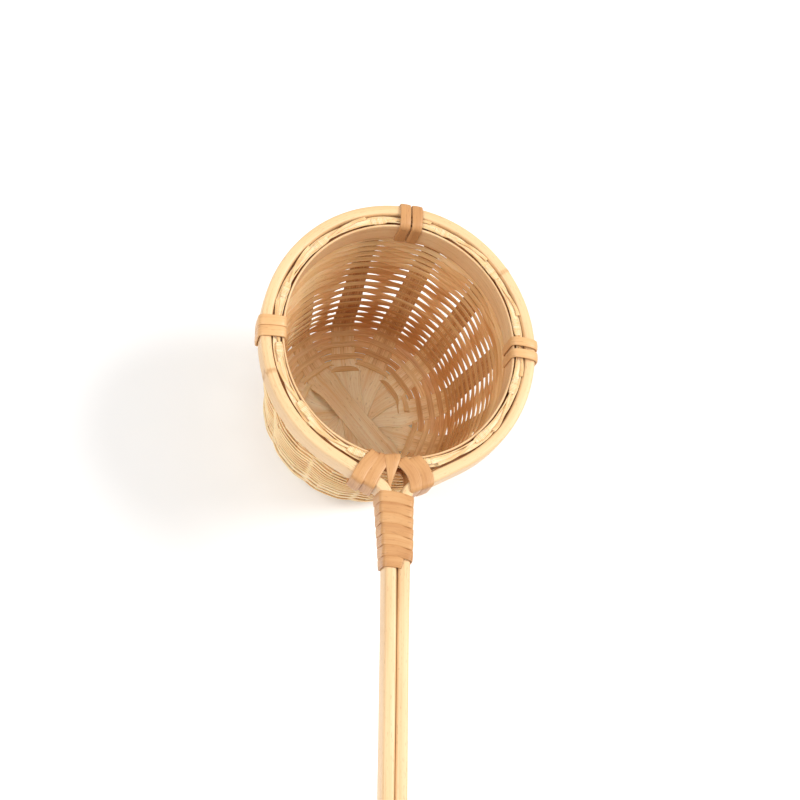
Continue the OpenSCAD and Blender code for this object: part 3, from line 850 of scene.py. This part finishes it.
# cane wound down the legs round a box that follows them: it moves towards the tip mostly on the top's right
def makeBinding(name, node, start, turns, pitch, wide, seed):
    if start is None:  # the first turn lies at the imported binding's upper end
        start = boxOf(node)[1][1] - wide / 2
    q = np.arange(0, turns, winding["perTurn"])
    y = start - pitch * (np.floor(q) + np.interp(q % 1, winding["driftAt"], winding["drift"]))
    left, right = legSides(y)
    low, high = slatLow[2] - winding["lift"], rim["top"] + winding["lift"]
    box = np.array([[-1, 0], [-1, 1], [1, 1], [1, 0], [-1, 0]], float)
    at = np.interp(q % 1, winding["at"], np.arange(5))
    corner = np.stack([np.interp(at, np.arange(5), box[:, k]) for k in (0, 1)], 1)
    x = (left + right) / 2 + corner[:, 0] * ((right - left) / 2 + winding["lift"])
    path = np.stack([x, y, low + (high - low) * corner[:, 1]], 1)
    path = relax(resample(path, cane["step"]), winding["rounds"])
    away = unit(path * [1, 0, 1] - upwards * (rim["top"] - rim["height"] / 2))
    side = unit(np.cross(unit(np.gradient(path, axis=0)), away))
    t = np.arange(len(path))
    half = wide / 2 * (1 + winding["uneven"] * drift(t, seed=seed, wave=60))
    grid = caneGrid(path, side, half, winding["thick"], winding["sharp"], away)
    tone = cane["tone"] + winding["toneDrift"] * drift(t, seed=seed + 1, wave=75)
    makePiece(name, [grid], straw["cane"], [node], [tone])


for name, shape in bindings.items():
    makeBinding(name, **shape)

# the mouth's centre is drawn at (aimX, aimY) of a frame so many units wide, at scale units a millimetre
shot = {
    "distance": 380, "tilt": 22.8, "azimuth": -30.9, "roll": 0.7,
    "aimX": 401.0, "aimY": 337.8, "scale": 3.709, "frame": 800, "sensor": 36,
}


# the camera looks along -back from distance, moved across and up so that the mouth falls where it is aimed
def addCamera():
    tilt, azimuth, roll = (np.radians(shot[k]) for k in ("tilt", "azimuth", "roll"))
    back = np.array([np.sin(azimuth) * np.sin(tilt), -np.cos(azimuth) * np.sin(tilt), np.cos(tilt)])
    up = unit(np.array([0, 1.0, 0]) - back * back[1])
    right = np.cross(up, back)
    across = right * np.cos(roll) + up * np.sin(roll)
    upward = -right * np.sin(roll) + up * np.cos(roll)
    offX = (shot["aimX"] - shot["frame"] / 2) / shot["scale"]
    offY = (shot["frame"] / 2 - shot["aimY"]) / shot["scale"]
    place = shot["distance"] * back - offX * across - offY * upward + upwards * rim["top"]
    data = bpy.data.cameras.new("camera")
    data.sensor_width = shot["sensor"]
    data.lens = shot["scale"] * shot["distance"] / shot["frame"] * shot["sensor"]
    data.clip_start, data.clip_end = 0.01, 20
    camera = bpy.data.objects.new("camera", data)
    bpy.context.scene.collection.objects.link(camera)
    turn = Matrix((across, upward, back)).transposed().to_4x4()
    camera.matrix_world = Matrix.Translation(place * metre) @ turn
    bpy.context.scene.camera = camera


studio = {
    "floorHalf": 3.0, "floorLow": 0.0005, "floorColour": (0.95, 0.95, 0.95, 1), "floorRough": 0.9,
    "sky": 0.56, "aimHigh": 0.05,
    "lamps": {  # place, size and power
        "key": ((0.75, 0.1, 0.95), 0.6, 10.5),
        "fill": ((-0.65, -0.15, 1.05), 0.6, 7),
    },
}


def addFloor():  # one pale square just below the object
    mesh = bpy.data.meshes.new("floor")
    e = studio["floorHalf"]
    mesh.from_pydata([(-e, -e, 0), (e, -e, 0), (e, e, 0), (-e, e, 0)], [], [(0, 1, 2, 3)])
    material, nodes, _ = newMaterial("floorPaper")
    shader = nodes["Principled BSDF"]
    shader.inputs["Base Color"].default_value = studio["floorColour"]
    shader.inputs["Roughness"].default_value = studio["floorRough"]
    mesh.materials.append(material)
    floor = bpy.data.objects.new("floor", mesh)
    floor.location.z = -studio["floorLow"]
    bpy.context.scene.collection.objects.link(floor)


def addLight(name, place, size, power):  # a round soft lamp that looks at the basket's middle
    data = bpy.data.lights.new(name, "AREA")
    data.shape, data.size, data.energy = "DISK", size, power
    lamp = bpy.data.objects.new(name, data)
    bpy.context.scene.collection.objects.link(lamp)
    back = unit(np.array(place, float) - upwards * studio["aimHigh"])
    side = unit(np.cross([0, 1, 0.01], back))
    turn = Matrix((side, np.cross(back, side), back)).transposed().to_4x4()
    lamp.matrix_world = Matrix.Translation(place) @ turn


world = bpy.data.worlds.new("studio")
bpy.context.scene.world = world
world.use_nodes = True
sky = world.node_tree.nodes["Background"]
sky.inputs["Color"].default_value = (1, 1, 1, 1)
sky.inputs["Strength"].default_value = studio["sky"]
bpy.context.scene.view_settings.view_transform = "Standard"

addCamera()
addFloor()
for name, lamp in studio["lamps"].items():
    addLight(name, *lamp)
print("camera, floor and lamps placed")
